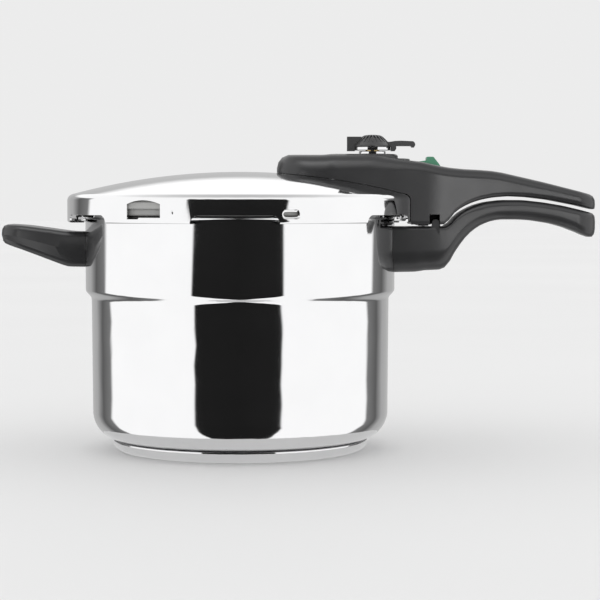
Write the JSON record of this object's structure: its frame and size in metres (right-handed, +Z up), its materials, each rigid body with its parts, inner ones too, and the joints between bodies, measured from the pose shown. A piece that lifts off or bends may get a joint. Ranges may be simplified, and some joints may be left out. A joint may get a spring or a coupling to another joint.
{
  "type": "stovetop pressure cooker",
  "caption": "Stovetop pressure cooker with a turning bayonet lid, long and short handles, a steam valve knob and a sliding lid lock.",
  "frame": {"origin": "centre of the flat underside of the base", "axes": "+Z up along the pot's axis, +X along the long handles"},
  "size_m": [0.4255, 0.2476, 0.226],
  "materials": {
    "polished_steel": "polished",
    "satin_steel": "satin",
    "aluminium_core": "plain",
    "brass": "satin",
    "phenolic": "satin",
    "knob_plastic": "satin",
    "green_plastic": "semi-gloss",
    "red_plastic": "semi-gloss",
    "silicone": "matte"
  },
  "bodies": {
    "pot": {"pot_shell": "polished_steel", "base_core": "aluminium_core", "base_cap": "polished_steel", "pot_handle_bracket": "satin_steel", "pot_handle": "phenolic", "pot_handle_screw": "satin_steel", "side_handle_bracket": "satin_steel", "side_handle": "phenolic", "side_handle_screw": "satin_steel"},
    "lid": {"lid_shell": "polished_steel", "lid_gasket": "silicone", "lid_handle": "phenolic", "lid_handle_bracket": "satin_steel", "lid_handle_screw": "satin_steel", "steam_pipe": "brass", "steam_pipe_seal": "silicone", "steam_pipe_nut": "brass", "steam_filter": "polished_steel", "valve_ring_nut": "polished_steel", "relief_body": "brass", "relief_seal": "silicone", "relief_nut": "brass", "relief_spring": "satin_steel", "indicator_bush": "brass", "indicator_nut": "brass", "lock_spring": "satin_steel", "lock_cover": "phenolic", "lock_cover_screws": "satin_steel"},
    "valve_knob": {"knob_cap": "knob_plastic", "knob_lever": "knob_plastic", "knob_sleeve": "polished_steel", "valve_spring": "satin_steel"},
    "plunger": {"valve_plunger": "brass"},
    "relief": {"relief_ball": "polished_steel"},
    "indicator": {"indicator_pin": "red_plastic", "indicator_seal": "silicone"},
    "lock_slider": {"lock_button": "green_plastic", "lock_bar": "satin_steel", "lock_rivet": "satin_steel"}
  },
  "joints": [
    {"name": "lid_turn", "type": "hinge", "parent": "pot", "child": "lid", "pos_m": [0, 0, 0.17], "axis": [0, 0, 1], "range_deg": [0, 30]},
    {"name": "knob_turn", "type": "hinge", "parent": "lid", "child": "valve_knob", "pos_m": [0.095, 0, 0.216], "axis": [0, 0, 1], "range_deg": [-60, 60]},
    {"name": "plunger_lift", "type": "slide", "parent": "lid", "child": "plunger", "axis": [0, 0, 1], "range_m": [0, 0.0012], "stiffness_N_per_m": 800, "springref_m": -0.002, "deforming": ["valve_spring"]},
    {"name": "relief_lift", "type": "slide", "parent": "lid", "child": "relief", "axis": [0, 0, 1], "range_m": [0, 0.001], "stiffness_N_per_m": 1500, "springref_m": -0.002, "deforming": ["relief_spring"]},
    {"name": "indicator_rise", "type": "slide", "parent": "lid", "child": "indicator", "axis": [0, 0, 1], "range_m": [0, 0.004]},
    {"name": "lock_slide", "type": "slide", "parent": "lid", "child": "lock_slider", "axis": [1, 0, 0], "range_m": [0, 0.007]}
  ]
}
